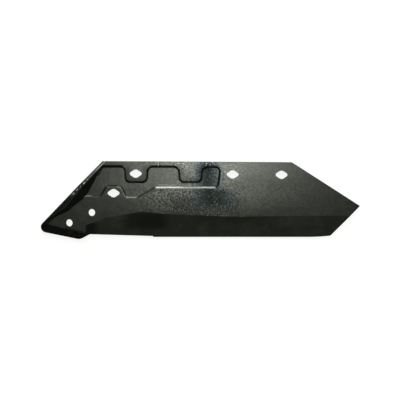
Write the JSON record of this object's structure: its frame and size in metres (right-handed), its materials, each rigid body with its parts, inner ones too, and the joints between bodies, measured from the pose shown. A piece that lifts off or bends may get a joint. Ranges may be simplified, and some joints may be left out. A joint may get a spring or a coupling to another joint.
{
  "type": "plough share",
  "caption": "Forged plough share with a raked shin, bevelled cutting edge, forged relief on its rear face and countersunk bolt holes.",
  "frame": {"origin": "under the middle of the share, on the surface that its working face lies on", "axes": "+X from the nose to the heel, +Y from the cutting edge to the bolting edge, +Z out of the rear face"},
  "size_m": [0.5585, 0.1367, 0.019],
  "materials": {
    "black_paint": "gloss black paint over a forged steel skin"
  },
  "bodies": {
    "root": {"plough_share": "black_paint"}
  },
  "joints": []
}
